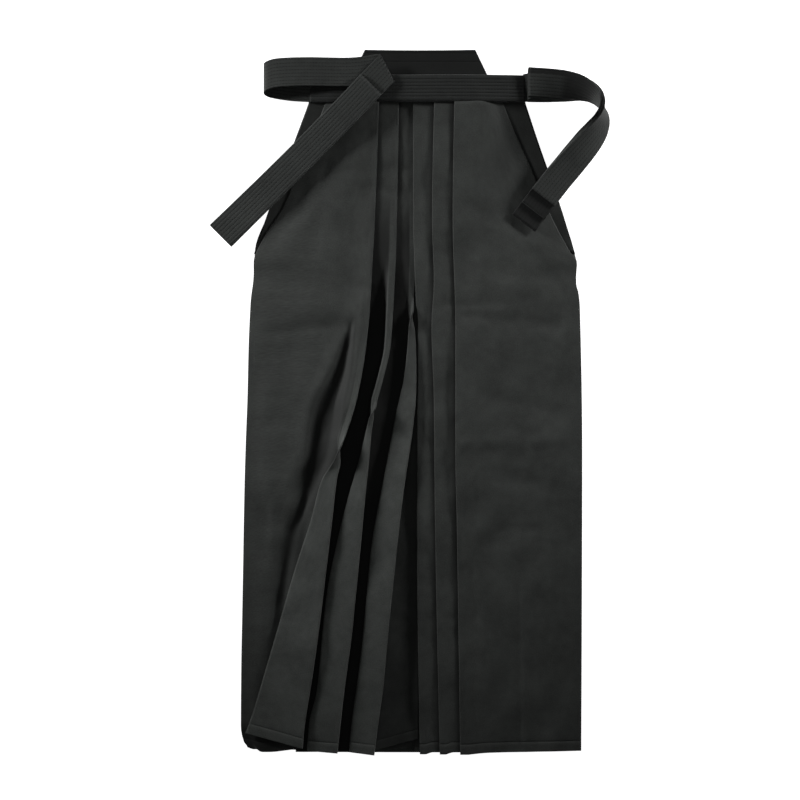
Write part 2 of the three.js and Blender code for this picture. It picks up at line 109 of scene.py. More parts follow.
floor_mesh = bpy.data.meshes.new("floor")
bm = bmesh.new()
bmesh.ops.create_grid(bm, x_segments=1, y_segments=1, size=4.0)
bmesh.ops.translate(bm, verts=bm.verts, vec=(0, 0, -0.0003))
bm.to_mesh(floor_mesh)
bm.free()
floor = bpy.data.objects.new("floor", floor_mesh)
scene.collection.objects.link(floor)
floor_paint = bpy.data.materials.new("pale_table")
floor_paint.use_nodes = True
floor_shader = floor_paint.node_tree.nodes["Principled BSDF"]
floor_shader.inputs["Base Color"].default_value = (0.9, 0.9, 0.9, 1.0)
floor_shader.inputs["Roughness"].default_value = 0.9
floor_shader.inputs["Specular IOR Level"].default_value = 0.1
floor_shader.inputs["Emission Color"].default_value = (1.0, 1.0, 1.0, 1.0)
floor_shader.inputs["Emission Strength"].default_value = 1.0
floor_mesh.materials.append(floor_paint)

# ---------------------------------------------------------------- back legs
# Two plain widths of black twill that everything else lies on, joined down the centre back. Only
# their side edges and a strip of hem show past the fronts.
CLOTH = 0.9  # thickness of one layer of cloth


class Strand:
    """One socket of a material's nodes, with arithmetic."""

    def __init__(self, tree, socket=None):
        self.tree = tree
        self.socket = socket

    def add(self, kind, settings=None, inputs=None, out=0):
        """A new node with its settings made first, then its sockets given values or links."""
        node = self.tree.nodes.new(kind)
        for name, value in (settings or {}).items():
            if name == "stops":
                while len(node.color_ramp.elements) < len(value):
                    node.color_ramp.elements.new(0.5)
                for element, (position, level) in zip(node.color_ramp.elements, value):
                    element.position = position
                    element.color = (level, level, level, 1.0)
            else:
                setattr(node, name, value)
        for name, value in (inputs or {}).items():
            if isinstance(value, Strand):
                self.tree.links.new(value.socket, node.inputs[name])
            else:
                node.inputs[name].default_value = value
        return Strand(self.tree, node.outputs[out])

    def math(self, operation, *values):
        settings = {"operation": operation}
        return self.add("ShaderNodeMath", settings, dict(enumerate(values)))

    def __add__(self, other):
        return self.math("ADD", self, other)

    __radd__ = __add__

    def __sub__(self, other):
        return self.math("SUBTRACT", self, other)

    def __rsub__(self, other):
        return self.math("SUBTRACT", other, self)

    def __mul__(self, other):
        return self.math("MULTIPLY", self, other)

    __rmul__ = __mul__

    def wave(self, pitch):
        """A sine of this length, from -1 to 1."""
        return self.math("SINE", self * (2 * math.pi / pitch))

    def ridge(self, half):
        """1 where this is 0, falling to 0 at half either side."""
        return self.math("MAXIMUM", 1 - self.math("ABSOLUTE", self) * (1 / half), 0.0)

    def between(self, low, high):
        """0 below low, 1 above high."""
        limits = {"Value": self, "From Min": low, "From Max": high}
        return self.add("ShaderNodeMapRange", {"clamp": True}, limits)


def weave(name, colour, rough, sheen, stitches=None, dark=0.45, light=0.35):
    """A black twill that follows the cloth's own UV map, which is in metres.

    Its float attribute paints light and shade into the colour: above 0 it darkens the cloth as
    painted shade, in the pleats, hollows and other recesses, and below 0 it lightens it as painted
    light, on the turned-over flaps.
    stitches takes the UV strands and gives a mask of the thread and one of the dent it pulls.
    dark and light say how much the dent and the thread show.
    """
    paint = bpy.data.materials.new(name)
    paint.use_nodes = True
    shader = paint.node_tree.nodes["Principled BSDF"]
    start = Strand(paint.node_tree)
    uv = start.add("ShaderNodeUVMap", {"uv_map": "cloth"})
    u = start.add("ShaderNodeSeparateXYZ", None, {"Vector": uv}, 0)
    v = start.add("ShaderNodeSeparateXYZ", None, {"Vector": uv}, 1)
    twill = (u * 0.92 + v * 0.4).wave(0.0021) * 0.5 + 0.5
    thread = start.add(
        "ShaderNodeTexNoise", None, {"Vector": uv, "Scale": 620.0, "Detail": 3.0, "Roughness": 0.65}
    )
    slub = start.add(
        "ShaderNodeTexNoise", None, {"Vector": uv, "Scale": 90.0, "Detail": 3.0, "Roughness": 0.55}
    )
    wear = start.add(
        "ShaderNodeTexNoise", None, {"Vector": uv, "Scale": 15.0, "Detail": 2.5, "Roughness": 0.5}
    )
    # the painted light and shade of each vertex
    inner = start.add("ShaderNodeAttribute", {"attribute_name": "inner"}, None, 2)
    tone = 0.45 + twill * 0.05 + thread * 0.92 + (slub - 0.5) * 0.50 + (wear - 0.5) * 0.80
    height = twill * 0.2 + thread * 0.7 + slub * 0.7
    if stitches:
        thread_mask, dent = stitches(u, v)
        tone = tone * (1 - dent * dark) + thread_mask * light
        height = height - dent * 2.2 + thread_mask * 1.2
    # painted shade darkens the colour here, and painted light lightens it
    tone = tone * (1 - inner * 0.78)
    shade = start.add(
        "ShaderNodeMix",
        {"data_type": "RGBA", "blend_type": "MULTIPLY", "clamp_result": False},
        {"Factor": 1.0, 6: (*colour, 1.0), 7: start.add(
            "ShaderNodeCombineXYZ", None, {"X": tone, "Y": tone, "Z": tone})},
        2,
    )
    bump = start.add(
        "ShaderNodeBump", None, {"Strength": 0.45, "Distance": 0.0003, "Height": height}
    )
    links = paint.node_tree.links
    links.new(shade.socket, shader.inputs["Base Color"])
    links.new(bump.socket, shader.inputs["Normal"])
    links.new((rough + (slub - 0.5) * 0.1).socket, shader.inputs["Roughness"])
    shader.inputs["Specular IOR Level"].default_value = 0.22
    shader.inputs["Sheen Weight"].default_value = sheen
    shader.inputs["Sheen Roughness"].default_value = 0.45
    return paint


def dashes(along, across, at_line, pitch=0.0032, thick=0.00045):
    """A line of stitches along one UV axis: the thread, and the dent the row pulls."""
    row = (across - at_line).ridge(thick)
    gap = (along.wave(pitch) * 0.5 + 0.5).between(0.2, 0.45)
    return row * gap, (across - at_line).ridge(thick * 3.2)


FRONT_LENGTH = 910.0
HEM_DEPTH = 14.0


def hem_stitches(u, v):
    """One row above the hem. v is the drop."""
    return dashes(u, v, (FRONT_LENGTH - HEM_DEPTH) * MM)


SKIRT_BLACK = (0.0365, 0.0395, 0.037)
skirt_cloth = weave("skirt_cloth", SKIRT_BLACK, 0.72, 0.12, hem_stitches, dark=0.12, light=0.30)


def table(columns, rows):
    """A short table as a dictionary of its named columns."""
    return dict(zip(columns.split(), map(list, zip(*rows))))


def read(rows, column, drop):
    """A column's value at a drop, on a smooth curve through its rows that never overshoots."""
    xs, ys = rows["drop"], rows[column]
    if drop <= xs[0]:
        return ys[0]
    if drop >= xs[-1]:
        return ys[-1]
    i = bisect.bisect_right(xs, drop) - 1

    def slope(k):
        if k == 0 or k == len(xs) - 1:
            return 0.0 if len(xs) > 2 else (ys[-1] - ys[0]) / (xs[-1] - xs[0])
        before = (ys[k] - ys[k - 1]) / (xs[k] - xs[k - 1])
        after = (ys[k + 1] - ys[k]) / (xs[k + 1] - xs[k])
        return 0.0 if before * after <= 0 else 2 * before * after / (before + after)

    span = xs[i + 1] - xs[i]
    t = (drop - xs[i]) / span
    rise = ys[i + 1] - ys[i]
    start, end = slope(i) * span, slope(i + 1) * span
    if i == 0:
        start = 1.5 * rise - 0.5 * end
    if i + 2 == len(xs):
        end = 1.5 * rise - 0.5 * start
    a = start + end - 2 * rise
    b = 3 * rise - 2 * start - end
    return ys[i] + t * (start + t * (b + t * a))


def unfold(bm, uv, flat):
    """Give each corner of a smooth mesh its place on the flat cloth."""
    for face in bm.faces:
        face.smooth = True
        for loop in face.loops:
            loop[uv].uv = flat[loop.vert]


def sewn(bm, name, paint):
    """The finished mesh as a piece of the garment."""
    mesh = bpy.data.meshes.new(name)
    bm.to_mesh(mesh)
    bm.free()
    mesh.materials.append(paint)
    piece = bpy.data.objects.new(name, mesh)
    scene.collection.objects.link(piece)
    return piece


def sheet_mesh(name, columns, rows, where, paint, thick, inner=None):
    """A wall of cloth. where takes a column and a row and gives the point and its flat place.

    Columns run from left to right and rows from the hem up, so the cloth's face is upwards.
    The last argument takes a column and a row too, and gives the painted shade there, which says
    how dark the cloth is there: above 0 darker, below 0 lighter as painted light.
    """
    bm = bmesh.new()
    bmesh.ops.create_grid(bm, x_segments=columns - 1, y_segments=rows - 1, size=1.0)
    uv = bm.loops.layers.uv.new("cloth")
    flat = {}
    # painted light and shade per vertex, read by the cloth's material
    painted_shading_layer = bm.verts.layers.float.new("inner")
    for vert in bm.verts:
        column = round((vert.co.x + 1) / 2 * (columns - 1))
        row = round((vert.co.y + 1) / 2 * (rows - 1))
        vert[painted_shading_layer] = inner(column, row) if inner else 0.0
        vert.co, flat[vert] = where(column, row)
    unfold(bm, uv, flat)
    piece = sewn(bm, name, paint)
    wall = piece.modifiers.new("wall", "SOLIDIFY")
    wall.thickness = thick * MM
    wall.offset = 0.0
    return piece


BACK_LENGTH = 912.0
BACK_TOP = 16.6
BACK_Z = 0.6
BACK_SIDES = table("drop left right", [
    (BACK_TOP, -152, 159.5),
    (56, -167, 173),
    (154, -204, 207.5),
    (205, -223, 224),
    (227, -224.5, 228),
    (254, -226, 227),
    (285, -229.8, 232.2),
    (417, -232.2, 233.6),
    (852, -241.3, 233.4),
    (898, -237, 233.2),
    (BACK_LENGTH, -226, 233),
])
# The hem's line across both legs: its places are read across the garment.
BACK_HEM = table("drop line", [
    (-232, 907), (-158, 908), (-120, 911), (110, 911.5), (150, 909), (233, 908),
])
HEM_ROW_GAP = 0.05  # keeps the rows that the hem's line cuts off from falling together
SLIT_FOOT = 212
# how much painted shade darkens the backs above the foot of the slits
SLIT_SHADE = 0.7
BACK_COLUMNS = 25
BACK_ROWS = 120


def back_drop(row):
    return BACK_TOP + (BACK_LENGTH - BACK_TOP) * (1 - row / (BACK_ROWS - 1))


def slit_painted_shade(column, row):
    """Painted shade on the backs' insides, where they show through the side slits."""
    return SLIT_SHADE if back_drop(row) < SLIT_FOOT else 0.0


for name, side, edge in (("back_left", -1, "left"), ("back_right", 1, "right")):

    def back_place(column, row):
        drop = back_drop(row)
        left, right = sorted((read(BACK_SIDES, edge, drop), 0))
        x = left + (right - left) * column / (BACK_COLUMNS - 1)
        drop = min(drop, read(BACK_HEM, "line", x) - HEM_ROW_GAP * row)
        return place(x, drop, BACK_Z), (x * MM, drop * MM)

    back = sheet_mesh(
        name + "_cloth", BACK_COLUMNS, BACK_ROWS, back_place, skirt_cloth, 1.2, inner=slit_painted_shade
    )
    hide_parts(name)
    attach(back, "root")

# ---------------------------------------------------------------- gusset
# The piece that joins the two legs along their insides, a plain width laid flat and hidden between
# the layers.
GUSSET_TOP = 470
GUSSET_LENGTH = 410
GUSSET = table("drop half", [(GUSSET_TOP, 12), (GUSSET_TOP + GUSSET_LENGTH, 55)])
GUSSET_Z = 2.3
GUSSET_COLUMNS = 12
GUSSET_ROWS = 50


def gusset_place(column, row):
    drop = GUSSET_TOP + GUSSET_LENGTH * (1 - row / (GUSSET_ROWS - 1))
    x = (column / (GUSSET_COLUMNS - 1) * 2 - 1) * read(GUSSET, "half", drop)
    return place(x, drop, GUSSET_Z), (x * MM, drop * MM)


gusset = sheet_mesh("gusset_cloth", GUSSET_COLUMNS, GUSSET_ROWS, gusset_place, skirt_cloth, 1.0)
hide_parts("gusset")
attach(gusset, "root")

# ---------------------------------------------------------------- back board
# The stiff trapezoid that stands in the small of the back: board inside, black twill outside,
# top-stitched near its edge. Its top edge shows behind the front band.
BOARD_THICK = 3.0
BOARD_TOP = -74.4
BOARD_FOOT = 16.3
BOARD_CENTRE = 8.4
BOARD_TOP_HALF = 77.5
BOARD_FOOT_HALF = 121.0
BOARD_SAG = 0.8  # how far the middle of the top edge dips
BOARD_COLUMNS = 61
BOARD_ROWS = 31


def board_stitches(u, v):
    first = dashes(u, v, (BOARD_TOP + 5) * MM)
    second = dashes(u, v, (BOARD_TOP + 17) * MM)
    return first[0] + second[0], first[1] + second[1]


BOARD_BLACK = (0.0085, 0.0095, 0.009)
board_cloth = weave("board_cloth", BOARD_BLACK, 0.80, 0.0, board_stitches)


def board_place(column, row):
    share = row / (BOARD_ROWS - 1)
    drop = BOARD_FOOT + (BOARD_TOP - BOARD_FOOT) * share
    half = BOARD_FOOT_HALF + (BOARD_TOP_HALF - BOARD_FOOT_HALF) * share
    across = column / (BOARD_COLUMNS - 1) * 2 - 1
    sag = BOARD_SAG * (1 - across**2) * max(0, share - 0.9) * 10
    x = BOARD_CENTRE + across * half
    return place(x, drop + sag, BOARD_THICK / 2), (x * MM, drop * MM)


board = sheet_mesh(
    "back_board", BOARD_COLUMNS, BOARD_ROWS, board_place, board_cloth, BOARD_THICK
)
rounding = board.modifiers.new("rounding", "BEVEL")
rounding.width = 0.9 * MM
rounding.segments = 3
rounding.limit_method = "ANGLE"
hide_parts("koshi_ita")
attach(board, "root")

# ---------------------------------------------------------------- back ties
# Two short flat ties sewn under the back board, laid straight down inside the garment.
BACK_TIE_LENGTH = 650.0
BACK_TIE_HALF = 15.0
BACK_TIE_OFFSET = 95.0
BACK_TIE_Z = 2.1
BACK_TIE_COLUMNS = 11
BACK_TIE_ROWS = 61
BAND_BLACK = (0.0155, 0.0172, 0.0163)
ROW_PITCH = 4.8


def quilting(u, v):
    """Rows of stitches along u, a fixed pitch apart across v."""
    across = (v * (1 / (ROW_PITCH * MM))).math("FRACT", v * (1 / (ROW_PITCH * MM))) - 0.5
    row = across.ridge(0.09)
    gap = (u.wave(0.0042) * 0.5 + 0.5).between(0.3, 0.6)
    return row * gap, across.ridge(0.20) * (1 - gap * 0.4)


band_cloth = weave("band_cloth", BAND_BLACK, 0.70, 0.10, quilting)
for name, side in (("back_tie_left", -1), ("back_tie_right", 1)):

    def back_tie_place(column, row):
        across = column / (BACK_TIE_COLUMNS - 1) * 2 - 1
        x = side * BACK_TIE_OFFSET + across * BACK_TIE_HALF
        drop = BACK_TOP + BACK_TIE_LENGTH * (1 - row / (BACK_TIE_ROWS - 1))
        return place(x, drop, BACK_TIE_Z), (drop * MM, x * MM)

    back_tie = sheet_mesh(
        name + "_cloth", BACK_TIE_COLUMNS, BACK_TIE_ROWS, back_tie_place, band_cloth, 1.2
    )
    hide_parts(name)
    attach(back_tie, "root")

# ---------------------------------------------------------------- left front
# The wearer's right leg front: one wide width of twill with three pleats pressed in from the
# band. Below the hip the pleats spread, and each pressed edge has turned over to the left, so
# that its inner face shows as a long flap with a dark gap beside it.
LAYER = 1.3
LEFT_PANEL = table("drop sideX sideZ swellX swellZ", [
    (0, -124, 5.9, -104, 10.2),
    (40, -139, 4.8, -112, 9.8),
    (100, -164, 4.0, -122, 9.5),
    (145, -182.5, 3.8, -130, 9.5),
    (194, -213, 3.6, -136, 9.5),
    (224, -225, 3.5, -140, 9.8),
    (240, -225, 2.0, -140, 10),
    (277, -229, 2.0, -136, 10.5),
    (340, -232, 2.0, -128, 12),
    (417, -233.8, 2.0, -154, 14.5),
    (475, -236, 2.0, -164, 14),
    (529, -237.6, 2.0, -174, 12),
    (583, -238.7, 2.0, -186, 10.5),
    (650, -239.8, 2.0, -196, 9),
    (717, -241, 2.0, -206, 7.6),
    (797, -242.4, 2.0, -214, 6.4),
    (879, -242.9, 2.0, -222, 5.6),
    (900, -238.7, 2.0, -220, 5.5),
    (910, -229, 2.0, -215, 5.5),
])
PLEAT = "drop kneeX kneeZ ridgeX ridgeZ edgeX edgeZ foldX foldZ"
LEFT_PLEATS = [
    table(PLEAT, [
        (0, -85, 12.0, -57, 11.5, -49.6, 11.5, -72, 10.85),
        (164, -90, 12.0, -63, 11.5, -55.3, 11.5, -78, 10.85),
        (224, -94, 11.8, -66, 12.2, -58.5, 12.2, -80, 9.6),
        (277, -97, 10.4, -69, 15, -61.3, 15, -77, 7.4),
        (340, -99, 14.0, -75, 18, -67.1, 18, -83, 6.2),
        (417, -113, 15.5, -88.5, 20.5, -80.5, 21, -96.5, 6.2),
        (459, -125, 15.0, -101, 21.5, -93.2, 23, -109, 6.2),
        (475, -130, 14.5, -104.5, 22, -99, 27.5, -112.5, 6.2),
        (487, -134, 14.0, -104.5, 22, -104.5, 30, -112.5, 6.2),
        (500, -138, 13.0, -104.5, 22, -110.5, 27, -112.5, 6.2),
        (529, -146, 10.5, -109.9, 22, -128.6, 18, -118, 6.2),
        (583, -156, 7.5, -116, 22, -143.2, 14.5, -124, 6.2),
        (650, -170, 6, -124, 22, -165, 12.4, -132, 6.2),
        (717, -182, 6, -132, 22, -184.5, 11.6, -140, 6.2),
        (797, -188, 5.8, -142.5, 22, -204.5, 11, -150.5, 6.2),
        (840, -191, 5.7, -149, 21.5, -214.8, 10.8, -157, 6.2),
        (879, -194, 5.6, -154.8, 21, -224.8, 10.5, -163, 6.2),
        (910, -197, 5.6, -157.5, 21, -235.5, 10.5, -165.5, 6.2),
    ]),
    table(PLEAT, [
        (0, -36, 9.55, -26.5, 8.9, -21.6, 8.9, -40, 8.25),
        (200, -41, 9.55, -30, 8.9, -25.3, 8.9, -44, 8.25),
        (224, -41, 8.6, -31, 9.6, -26.2, 9.6, -40, 7.1),
        (240, -41, 7.4, -32, 10.5, -27, 10.5, -37, 6.2),
        (277, -40, 5.6, -34, 13.5, -28.8, 13.5, -35.5, 6.2),
        (340, -42, 4.9, -37.6, 16.5, -33.2, 16.5, -39.1, 6.2),
        (396, -54, 4.9, -50, 19, -45.7, 19, -51.5, 6.2),
        (418, -60, 4.9, -55.8, 19.8, -51.8, 20, -57.3, 6.2),
        (427, -61, 4.9, -56.6, 20, -53.4, 24, -58.1, 6.2),
        (434, -62, 4.9, -57.2, 20, -57.2, 25.4, -58.7, 6.2),
        (442, -63, 4.9, -58.2, 20, -62, 23.4, -59.7, 6.2),
        (460, -67, 4.9, -61.2, 20, -66.6, 19, -62.7, 6.2),
        (490, -70, 4.9, -63.8, 20, -73.6, 17.5, -65.3, 6.2),
        (557, -77, 4.9, -70.6, 20, -92.7, 16.2, -72.1, 6.2),
        (609, -81.5, 4.9, -75.4, 20, -105.8, 15.8, -76.9, 6.2),
        (691, -89.5, 4.9, -83.5, 20, -122.1, 15.4, -85, 6.2),
        (744, -95, 4.9, -88.8, 20, -127.8, 15.2, -90.3, 6.2),
        (824, -105.5, 4.9, -99.5, 20, -135.3, 15, -101, 6.2),
        (873, -111, 4.9, -105, 19.5, -146.5, 14.6, -106.5, 6.2),
        (910, -115, 4.9, -109, 19, -149, 14.2, -110.5, 6.2),
    ]),
    table(PLEAT, [
        (0, -12, 6.95, -2, 6.3, 6.6, 6.3, -14, 5.65),
        (200, -12, 6.95, -2, 6.3, 5.4, 6.3, -14, 5.65),
        (260, -11, 6.8, -3.4, 6.3, 0.6, 6.3, -12.6, 5.3),
        (277, -10, 6.2, -4, 7.0, -0.6, 7.8, -8, 5.2),
        (290, -9.5, 5.8, -4, 7.8, -1.0, 12, -5.5, 5.2),
        (300, -8.6, 5.4, -3.5, 8.5, -3.5, 14.5, -5, 5.2),
        (312, -8, 4.9, -2, 9.3, -6.5, 13, -3.5, 5.2),
        (325, -6.5, 4.9, -0.6, 10, -7.6, 10.6, -2.1, 5.2),
        (365, -5, 4.9, 1.0, 12, -11, 11.2, -0.5, 5.2),
        (395, -4.8, 4.9, 1.1, 13, -15.4, 10.8, -0.4, 5.2),
        (417, -5.4, 4.9, 0.4, 14, -20.5, 10.6, -1.1, 5.2),
        (439, -7.4, 4.9, -1.6, 15, -25.3, 10.4, -3.1, 5.2),
        (477, -12.4, 4.9, -6.4, 16, -32.7, 11.6, -7.9, 5.2),
        (529, -20.4, 4.9, -14.4, 17, -42.5, 13, -15.9, 5.2),
        (609, -30.3, 4.9, -24.3, 17.5, -57.6, 13.8, -25.8, 5.2),
        (658, -35.4, 4.9, -29.4, 17.5, -63.2, 13.8, -30.9, 5.2),
        (758, -45.7, 4.9, -39.7, 17.5, -72.3, 13.8, -41.2, 5.2),
        (812, -50.5, 4.9, -44.5, 17.5, -79, 13.6, -46, 5.2),
        (879, -59.7, 4.9, -53.7, 17, -88, 13.4, -55.2, 5.2),
        (910, -63.5, 4.9, -57.5, 17, -90.5, 13.2, -59, 5.2),
    ]),
]
HEM_EASE_DROP = 700.0
LEFT_HEM = {"side": 4, "panel": 0, "edges": (27, 3, 1), "ridges": (7, 0, -3), "centre": 18}

# Soft troughs and folds left by packing: from a place to a place, width and height. Those of the
# right front are here too, because what lies near the centre line lies over both.
LEFT_CREASES = [
    (-232, 298, -88, 286, 22, 1.3),
    (-232, 325, -88, 311, 9, -1.0),
    (-232, 352, -110, 345, 26, -0.9),
    (-150, 60, -60, 40, 14, -1.7),
    (-205, 195, -160, 150, 12, -1.5),
    (-60, 120, -10, 130, 8, -0.9),
    (-215, 400, -185, 520, 16, 1.3),
    (-222, 575, -170, 600, 14, -1.3),
    (-228, 700, -200, 640, 12, 1.1),
    (-72, 258, -62, 264, 5, -1.2),
    (-97, 95, -4, 95, 6, -0.75),
    (-176, 529, -160, 700, 9, 1.05),
    (-156, 540, -150, 640, 7, -0.75),
    (-215, 470, -190, 610, 14, 1.2),
    (-110, 505, -80, 512, 5, -0.6),
    (-176, 692, -160, 712, 4, 0.9),
    (-169, 736, -165, 810, 5, 0.7),
    (-164, 813, -155, 866, 5, -0.8),
    (-187, 570, -186, 700, 8, -1.3),
]
RIGHT_CREASES = [
    (98, 8, 158, 14, 9, -1.5),
    (75, 150, 150, 172, 14, -1.2),
    (170, 215, 205, 260, 12, -1.3),
    (70, 300, 205, 312, 10, -0.9),
    (120, 415, 212, 440, 14, -1.1),
    (70, 480, 225, 470, 11, 0.9),
    (105, 522, 228, 548, 12, -1.0),
    (60, 640, 150, 628, 12, 0.9),
    (150, 760, 225, 742, 14, -1.0),
    (40, 284, 124, 283, 6, -0.9),
    (95, 256, 165, 258, 12, 1.05),
    (229, 226, 200, 322, 8, -1.2),
    (240, 250, 222, 330, 7, 0.75),
    (115, 598, 187, 598, 5, -0.75),
    (204, 668, 217, 672, 7, -0.9),
    (92, 636, 116, 662, 4, -0.6),
    (80, 636, 88, 718, 4, -0.6),
    (146, 684, 149, 905, 5, -0.9),
    (0, 671, 60, 671, 5, -0.52),
    (-32, 722, 94, 721, 5, -0.52),
]
CREASES = LEFT_CREASES + RIGHT_CREASES


def rumple(x, drop):
    """How far the cloth's lie differs from flat at a place, the same for every layer there."""
    rise = 2.6 * noise.noise(Vector((x / 85, drop / 120, 3.7)))
    rise += 1.7 * noise.noise(Vector((x / 32, drop / 52, 8.1)))
    rise += 0.36 * noise.noise(Vector((x / 10, drop / 16, 1.3)))
    for x0, drop0, x1, drop1, width, height in CREASES:
        start = Vector((x0, drop0))
        line = Vector((x1, drop1)) - start
        away = Vector((x, drop)) - start
        share = min(1, max(0, away.dot(line) / line.length_squared))
        distance = (away - line * share).length / width
        if distance < 3:
            fade = 1 if 0 < share < 1 else 0.8
            rise += height * fade * math.exp(-distance * distance)
    return rise


def lerp(a, b, t):
    return a + (b - a) * t


def pleat(rows, drop):
    """The way of the cloth round one pleat at a drop: its knee, ridge, pressed edge and fold."""
    ridge = Vector((read(rows, "ridgeX", drop), read(rows, "ridgeZ", drop)))
    edge = Vector((read(rows, "edgeX", drop), read(rows, "edgeZ", drop)))
    way = (edge - ridge).normalized()
    swing = min(abs(math.atan2(way.y, way.x)) / (0.9 * math.pi), 1)
    half = LAYER / 2
    normal = Vector((-way.y, way.x)) * half

    def turned(closed, standing, back):
        if swing < 0.5:
            return lerp(closed, standing, swing * 2)
        return lerp(standing, back, swing * 2 - 1)

    fold_x, fold_z = read(rows, "foldX", drop), read(rows, "foldZ", drop)
    lap = turned(0, 0, 1.7)
    over = ridge - normal - way * lap
    return {
        "knee": [(read(rows, "kneeX", drop), read(rows, "kneeZ", drop))],
        "ridge": [
            (ridge.x + turned(-3, -2.6, 0), ridge.y + turned(half, -0.8, -3 * half)),
            tuple(ridge + normal),
        ],
        "edge": [tuple(edge + normal), tuple(edge - normal)],
        "after": [
            tuple(over),
            (
                ridge.x + turned(-1.2, 0.8, 1.7),
                turned(ridge.y - half, ridge.y - 3, fold_z + 1.8),
            ),
        ],
        "fold": [(fold_x, fold_z), (fold_x, fold_z - LAYER)],
    }


def smoothstep(value, low, high):
    t = min(1, max(0, (value - low) / (high - low)))
    return t * t * (3 - 2 * t)


def front_section(panel, pleats, hem, end, drop):
    """The corners of one section of a front, as (x, drop, z) from its side to the centre."""
    ease = smoothstep(drop, HEM_EASE_DROP, FRONT_LENGTH)
    corners = []

    def put(places, short):
        corners.extend(Vector((x, drop - short * ease, z)) for x, z in places)

    side = (read(panel, "sideX", drop), read(panel, "sideZ", drop))
    put([side, (side[0] + 9, side[1] + 1.4)], hem["side"])
    put([(read(panel, "swellX", drop), read(panel, "swellZ", drop))], hem["panel"])
    for i, rows in enumerate(pleats):
        way = pleat(rows, drop)
        put(way["knee"], hem["panel"])
        put(way["ridge"], hem["ridges"][i])
        put(way["edge"], hem["edges"][i])
        put(way["after"], hem["ridges"][i])
        put(way["fold"], hem["panel"])
    put([end], hem["centre"])
    return corners


# Columns of mesh along each stretch between corners, and how softly each corner bends.
SIDE_STRETCHES = [4, 26]
PLEAT_STRETCHES = [14, 16, 3, 8, 3, 8, 6, 6, 2]
SIDE_BENDS = [0, 6, 34]
PLEAT_BENDS = [16, 1.4, 0.8, 0.6, 0.6, 1.0, 4, 0.6, 0.6]


def bent(corners, bends, stretch, t):
    """A point part of the way along one stretch, with the corner at each end rounded off."""
    here, there = corners[stretch], corners[stretch + 1]
    run = there - here
    length = run.length
    for corner, distance, sign in ((stretch, t * length, 1), (stretch + 1, (1 - t) * length, -1)):
        if corner == 0 or corner == len(corners) - 1:
            continue
        arrive = corners[corner] - corners[corner - 1]
        leave = corners[corner + 1] - corners[corner]
        reach = min(bends[corner], 0.48 * arrive.length, 0.48 * leave.length)
        if reach > 0 and distance < reach:
            k = (1 + sign * distance / reach) / 2
            back = arrive.normalized() * reach * (1 - k) ** 2
            return corners[corner] - back + leave.normalized() * reach * k**2
    return here + run * t


UNDER_BAND = 4.0  # how far the fronts and the slit folds run up under the band
TUCK = 2.5  # how far a front's top row dips to get there


def front_rows():
    """Drops of the mesh's rows, from the hem up, close where the pleats turn over."""
    drops = [FRONT_LENGTH, 909.2, 907, 904, 901, 898.6, 897.2, 896, 894.8, 893.4, 890]
    while drops[-1] > 0:
        step = 3.2 if 285 < drops[-1] < 340 or 415 < drops[-1] < 520 else 6.2
        drops.append(max(0.0, drops[-1] - step))
    return drops + [-UNDER_BAND]


ROWS = front_rows()
LEFT_END = (6, 4.1)

# The slack of the left front's panel sinks in beside its first pleat: the hollow's two sides.
HOLLOW = table("drop left right depth soft", [
    (302, -88, -84.5, 0, 2),
    (320, -92, -86, 2.5, 2),
    (347, -101, -89, 5, 3),
    (382, -115, -95, 6, 5),
    (424, -136, -105, 6.5, 7),
    (459, -143, -109, 6.5, 8),
    (494, -147, -117, 6, 7),
    (543, -153, -137, 4, 6),
    (600, -177, -162, 2.4, 6),
    (690, -188, -178, 1.2, 5),
    (760, -196, -188, 0, 5),
])


CREST_SHARE = 0.17  # the low swell beside the hollow, as a share of its depth
CREST_OFFSET = 11
CREST_WIDTH = 10


def hollow(x, drop):
    """How far the panel sinks in at a place, and how much painted shade falls there, in the hollow.
    """
    if not HOLLOW["drop"][0] < drop < HOLLOW["drop"][-1]:
        return 0.0, 0.0
    left, right, depth, soft = (
        read(HOLLOW, column, drop) for column in ("left", "right", "depth", "soft")
    )
    slope = min(7, (right - left) * 0.8)
    crest = CREST_SHARE * depth * math.exp(-(((x - left + CREST_OFFSET) / CREST_WIDTH) ** 2))
    sunk = smoothstep(x, left - slope, left + slope)
    sunk *= 1 - smoothstep(x, right - soft, right + soft)
    far = right + 2 + 2 * soft
    # painted shade over the hollow and a little past its right side
    dark = smoothstep(x, left - slope, left + 1) * (1 - smoothstep(x, right + 2, far))
    return depth * sunk - crest, dark * min(1, depth / 4)


TURNS = (492, 434, 303)  # the drop where each left pleat's edge stands up and turns over
TURN_REACH = 16
# How much painted shade darkens the hollow, under the flap at the hem, each turn and the line
# beside each pressed edge, and how much painted light lightens the turned-over flaps.
HOLLOW_SHADE = 0.72
UNDER_FLAP_SHADE = 0.8
FLAP_PAINTED_LIGHT = 0.9
TURN_SHADE = 0.6
EDGE_SHADE = 0.95
EDGE_REACH = 4.2  # how far the dark line beside a pressed edge spreads
HEM_LINE = FRONT_LENGTH - HEM_DEPTH


